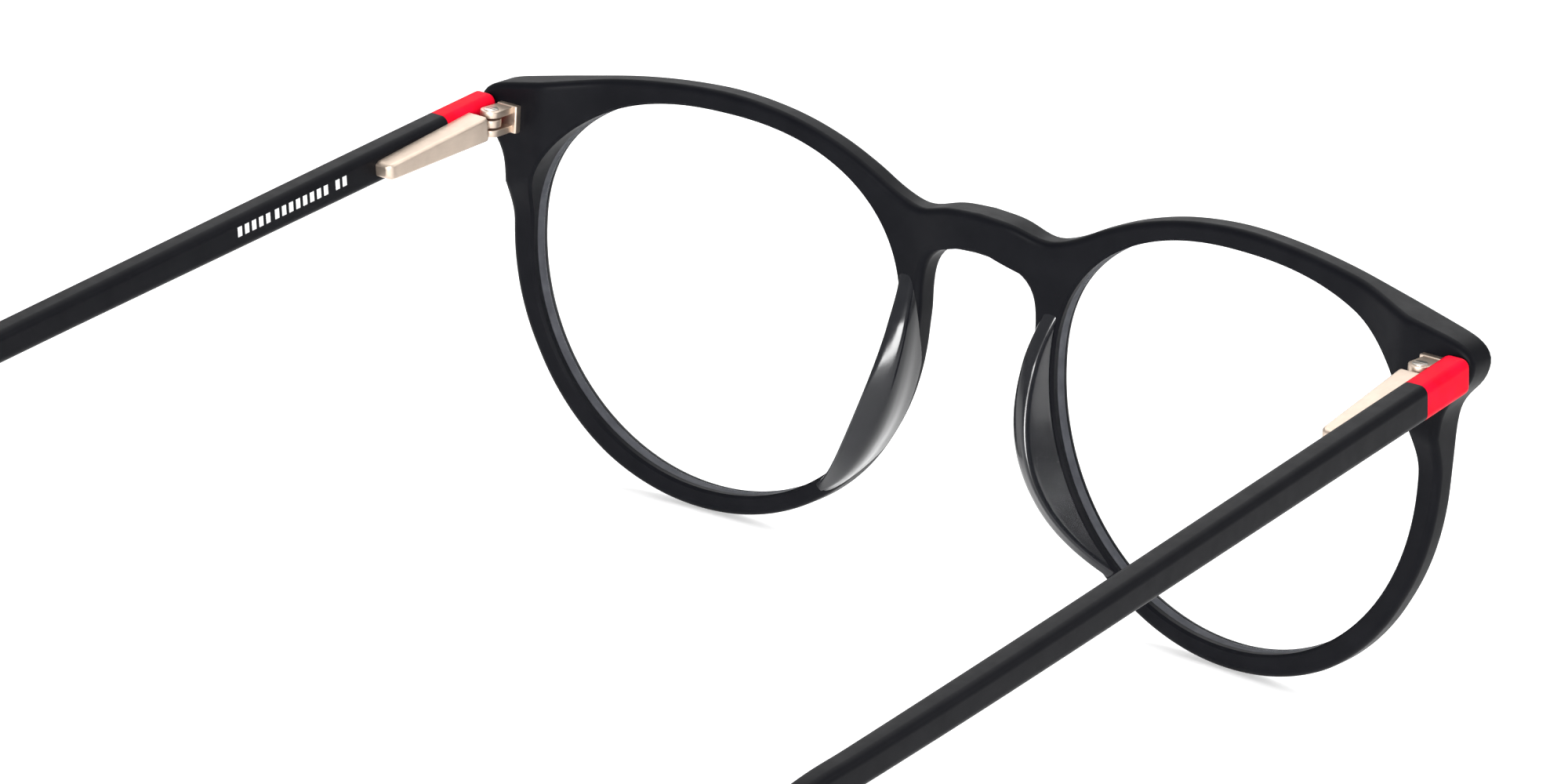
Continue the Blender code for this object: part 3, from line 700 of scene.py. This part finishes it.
class Looks:
    """A Principled material whose noises read the object's own coordinates, in millimetres."""

    def __init__(self, name, **constants):
        self.made = bpy.data.materials.new(name)
        self.made.use_nodes = True
        self.tree = self.made.node_tree
        self.shader = self.tree.nodes["Principled BSDF"]
        for socket, value in constants.items():
            self.shader.inputs[socket.replace("_", " ")].default_value = value
        self.place = self.tree.nodes.new("ShaderNodeTexCoord").outputs["Object"]

    def link(self, source, target):
        self.tree.links.new(source, target)

    def noise(self, per_mm, detail=3.0, stretch=(1, 1, 1)):
        """Noise with that many grains per millimetre."""
        mapping = self.tree.nodes.new("ShaderNodeMapping")
        mapping.inputs["Scale"].default_value = [per_mm / MM * s for s in stretch]
        self.link(self.place, mapping.inputs["Vector"])
        node = self.tree.nodes.new("ShaderNodeTexNoise")
        node.inputs["Scale"].default_value = 1
        node.inputs["Detail"].default_value = detail
        self.link(mapping.outputs["Vector"], node.inputs["Vector"])
        return node.outputs["Fac"]

    def ranged(self, source, low, high):
        """The source's middle range taken to low..high."""
        node = self.tree.nodes.new("ShaderNodeMapRange")
        node.inputs["From Min"].default_value = 0.3
        node.inputs["From Max"].default_value = 0.7
        node.inputs["To Min"].default_value = low
        node.inputs["To Max"].default_value = high
        self.link(source, node.inputs["Value"])
        return node.outputs["Result"]

    def colours(self, source, first, second):
        """Colour between two by the source."""
        node = self.tree.nodes.new("ShaderNodeValToRGB")
        node.color_ramp.elements[0].position = 0.3
        node.color_ramp.elements[1].position = 0.7
        node.color_ramp.elements[0].color = (*first, 1)
        node.color_ramp.elements[1].color = (*second, 1)
        self.link(source, node.inputs["Fac"])
        self.link(node.outputs["Color"], self.shader.inputs["Base Color"])

    def roughness(self, source, low, high):
        self.link(self.ranged(source, low, high), self.shader.inputs["Roughness"])

    def bump(self, source, depth_mm, strength=1.0):
        node = self.tree.nodes.new("ShaderNodeBump")
        node.inputs["Strength"].default_value = strength
        node.inputs["Distance"].default_value = depth_mm * MM
        self.link(source, node.inputs["Height"])
        self.link(node.outputs["Normal"], self.shader.inputs["Normal"])


def black_acetate():
    """Tumbled matt black acetate: fine grain, with faint cloudy changes of tone and sheen."""
    looks = Looks("black_acetate_matt", Specular_IOR_Level=0.06)
    looks.colours(looks.noise(0.25), (0.0022, 0.0024, 0.0036), (0.0036, 0.0038, 0.0052))
    looks.roughness(looks.noise(0.6), 0.38, 0.45)
    looks.bump(looks.noise(7.0, 4.0), 0.004, 0.35)
    return looks.made


def pad_acetate():
    """The same acetate, polished."""
    looks = Looks("black_acetate_polished", Specular_IOR_Level=0.4)
    looks.colours(looks.noise(0.25), (0.004, 0.0044, 0.006), (0.007, 0.0074, 0.0095))
    looks.roughness(looks.noise(0.5), 0.14, 0.20)
    looks.bump(looks.noise(0.8), 0.01, 0.25)
    return looks.made


def red_acetate():
    """Satin red acetate with a soft cloud in its colour."""
    looks = Looks("red_acetate_satin", Specular_IOR_Level=0.03, IOR=1.4)
    looks.colours(looks.noise(0.4), (0.58, 0.002, 0.014), (0.68, 0.004, 0.026))
    looks.roughness(looks.noise(0.8), 0.36, 0.46)
    looks.bump(looks.noise(6.0, 4.0), 0.004, 0.3)
    return looks.made


def nickel():
    """Warm nickel plating with a brushed grain along the temple."""
    looks = Looks("nickel_satin", Metallic=1.0)
    grain = looks.noise(2.2, 3.0, (1.6, 0.12, 1.6))
    looks.colours(looks.noise(0.5), (0.56, 0.46, 0.38), (0.63, 0.52, 0.43))
    looks.roughness(grain, 0.38, 0.46)
    looks.bump(grain, 0.003, 0.2)
    return looks.made


def steel():
    """Turned steel of the screws and inner parts."""
    looks = Looks("steel_turned", Metallic=1.0)
    looks.colours(looks.noise(0.8), (0.50, 0.47, 0.43), (0.62, 0.59, 0.55))
    looks.roughness(looks.noise(3.0), 0.26, 0.38)
    looks.bump(looks.noise(5.0), 0.004, 0.3)
    return looks.made


def clear_lens():
    """Clear coated lens. Its opacity follows Fresnel, so it is clear when seen from behind or in
    front, but turns dark and opaque when seen at more than about fifty degrees from its axis.
    """
    looks = Looks("lens_clear", Roughness=0.03, Metallic=1.0)
    looks.colours(looks.noise(0.05), (0.93, 0.96, 0.97), (0.97, 0.97, 0.99))
    fresnel = looks.tree.nodes.new("ShaderNodeFresnel")
    fresnel.inputs["IOR"].default_value = 1.25
    looks.link(fresnel.outputs["Fac"], looks.shader.inputs["Alpha"])
    return looks.made


def ground_edge_painted_light():
    """Finely ground lens edge, seen against the black groove. Its grey tone is partly the ground glass and partly
    painted light: it lightens the opening's inner wall in place of the light that the lens's bevel refracts there.
    """
    looks = Looks("lens_edge_ground_painted_light", Specular_IOR_Level=0.2)
    # Painted light: this grey stands partly for the light that the lens's bevel refracts onto the inner wall.
    looks.colours(looks.noise(0.4), (0.030, 0.031, 0.037), (0.048, 0.049, 0.056))
    looks.roughness(looks.noise(1.5), 0.6, 0.75)
    return looks.made


def white_paint():
    """Pad-printed white ink, a little uneven."""
    looks = Looks("white_ink")
    looks.colours(looks.noise(3.0), (0.62, 0.62, 0.62), (0.80, 0.80, 0.80))
    looks.roughness(looks.noise(2.0), 0.5, 0.65)
    return looks.made


def floor_paper():
    """Pale seamless paper."""
    looks = Looks("floor_paper", Emission_Color=(1, 1, 1, 1), Emission_Strength=0.25)
    looks.colours(looks.noise(0.02), (0.93, 0.93, 0.93), (0.95, 0.95, 0.95))
    looks.roughness(looks.noise(0.05), 0.85, 0.95)
    return looks.made


# ---------------------------------------------------------------- studio

def make_camera():
    """Camera behind the wearer's right shoulder."""
    ahead = Vector((
        math.sin(CAMERA_YAW) * math.cos(CAMERA_PITCH),
        -math.cos(CAMERA_YAW) * math.cos(CAMERA_PITCH),
        -math.sin(CAMERA_PITCH),
    ))
    level = ahead.cross(Vector((0, 0, 1))).normalized()
    upright = level.cross(ahead)
    right = math.cos(CAMERA_ROLL) * level + math.sin(CAMERA_ROLL) * upright
    up = math.cos(CAMERA_ROLL) * upright - math.sin(CAMERA_ROLL) * level
    turned = Matrix((right, up, -ahead)).transposed().to_4x4()
    place = -(ORIGIN_RIGHT * right + ORIGIN_UP * up + CAMERA_DISTANCE * ahead)
    data = bpy.data.cameras.new("camera")
    data.lens = CAMERA_LENS
    data.sensor_width = 36
    data.clip_start = 0.01
    data.clip_end = 20
    camera = bpy.data.objects.new("camera", data)
    bpy.context.scene.collection.objects.link(camera)
    leaning = Matrix.Rotation(LEAN, 4, "X")
    camera.matrix_world = Matrix.Translation(STAND @ place) @ leaning @ turned
    bpy.context.scene.camera = camera


def make_softbox(name, place, width, height, watts):
    """A rectangular area light aimed at the object's middle."""
    data = bpy.data.lights.new(name, "AREA")
    data.shape = "RECTANGLE"
    data.size = width
    data.size_y = height
    data.energy = watts
    light = bpy.data.objects.new(name, data)
    bpy.context.scene.collection.objects.link(light)
    light.location = place
    aim = LIGHT_AIM - Vector(place)
    light.rotation_euler = aim.to_track_quat("-Z", "Y").to_euler()


def make_studio():
    """Pale floor, soft surroundings and the softboxes."""
    mesh = bmesh.new()
    bmesh.ops.create_grid(mesh, x_segments=2, y_segments=2, size=FLOOR_HALF)
    data = bpy.data.meshes.new("floor")
    mesh.to_mesh(data)
    mesh.free()
    floor = bpy.data.objects.new("floor", data)
    floor.location = (0, 0, -FLOOR_DROP)
    data.materials.append(floor_paper())
    bpy.context.scene.collection.objects.link(floor)
    world = bpy.data.worlds.new("studio")
    world.use_nodes = True
    background = world.node_tree.nodes["Background"]
    background.inputs["Color"].default_value = (1, 1, 1, 1)
    background.inputs["Strength"].default_value = SURROUNDINGS
    bpy.context.scene.world = world
    for softbox in SOFTBOXES:
        make_softbox(*softbox)
    bpy.context.scene.view_settings.view_transform = "Standard"


# ---------------------------------------------------------------- assembly

def build():
    """Makes the fine pieces, gives each its body, slot and material, and finishes the kept nodes."""
    looks = {
        "black_acetate": black_acetate(),
        "pad_acetate": pad_acetate(),
        "red_acetate": red_acetate(),
        "nickel": nickel(),
        "steel": steel(),
        "lens_glass": clear_lens(),
    }
    # The lens edge's grey material is partly painted light on the opening's inner wall.
    edge_painted_light_looks = ground_edge_painted_light()
    front = make_front(looks["black_acetate"])
    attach(front, "front")
    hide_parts("front_frame")
    fine = (
        (make_nose_pad, "nose_pad", "front", "pad_acetate"),
        (make_lens, "lens", "front", "lens_glass"),
        (make_front_hinge, "front_hinge", "front", "nickel"),
        (make_hinge_screw, "hinge_screw", "front", "steel"),
        (make_hinge_tongue, "hinge_tongue", "tongue", "nickel"),
        (make_temple_arm, "temple_arm", "temple", "black_acetate"),
        (make_temple_block, "temple_block", "temple", "red_acetate"),
        (make_spring_housing, "spring_housing", "temple", "nickel"),
    )
    for side, mirror in SIDES:
        for make, node, body, slot in fine:
            piece = make(side, mirror, looks[slot])
            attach(piece, body if body == "front" else f"{body}_{side}")
            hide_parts(f"{node}_{side}")
        edge = make_lens_edge(side, mirror, edge_painted_light_looks)
        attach(edge, "front")
    marks = make_marks(white_paint())
    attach(marks, "temple_left")
    slots = {row["node"]: row["material_slot"] for row in frame["record"]["subparts"]}
    for name, node in frame["nodes"].items():
        if not node.hide_render:
            node.data.materials.clear()
            node.data.materials.append(looks[slots[name]])


make_camera()
make_studio()
build()
